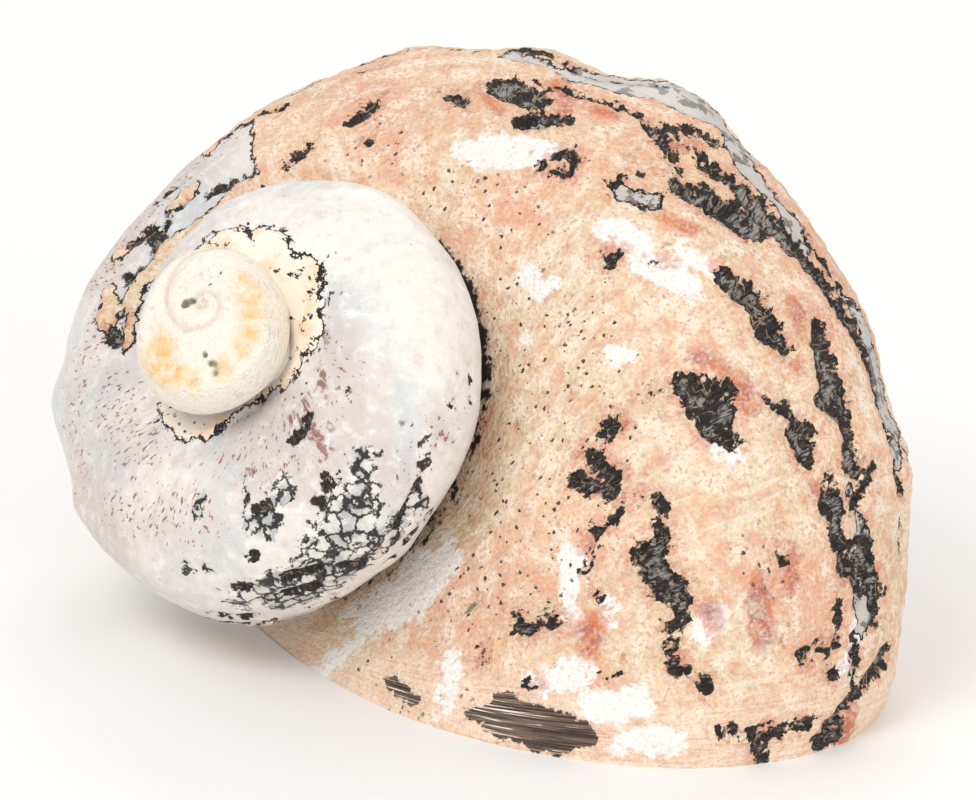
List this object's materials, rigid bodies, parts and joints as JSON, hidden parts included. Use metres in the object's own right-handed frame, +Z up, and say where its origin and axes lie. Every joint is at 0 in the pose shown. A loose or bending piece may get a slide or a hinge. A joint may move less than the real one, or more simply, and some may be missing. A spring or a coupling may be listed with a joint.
{
  "type": "turban shell",
  "caption": "Empty spiral shell of a large turban snail, resting on its mouth, with an inflated last whorl, a low worn spire and a round open mouth.",
  "frame": {"origin": "centre of the bounding box's bottom face, level with the mouth's rim that the shell rests on", "axes": "+Z up from the resting rim; +X along the longest extent, from the spire towards the outer lip; +Y away from the side that shows the spire"},
  "size_m": [0.0904, 0.0716, 0.0586],
  "materials": {
    "shell": "worn shell: matte salmon crust over pearly grey nacre, with dark chips"
  },
  "bodies": {
    "root": {"shell": "shell"}
  },
  "joints": []
}
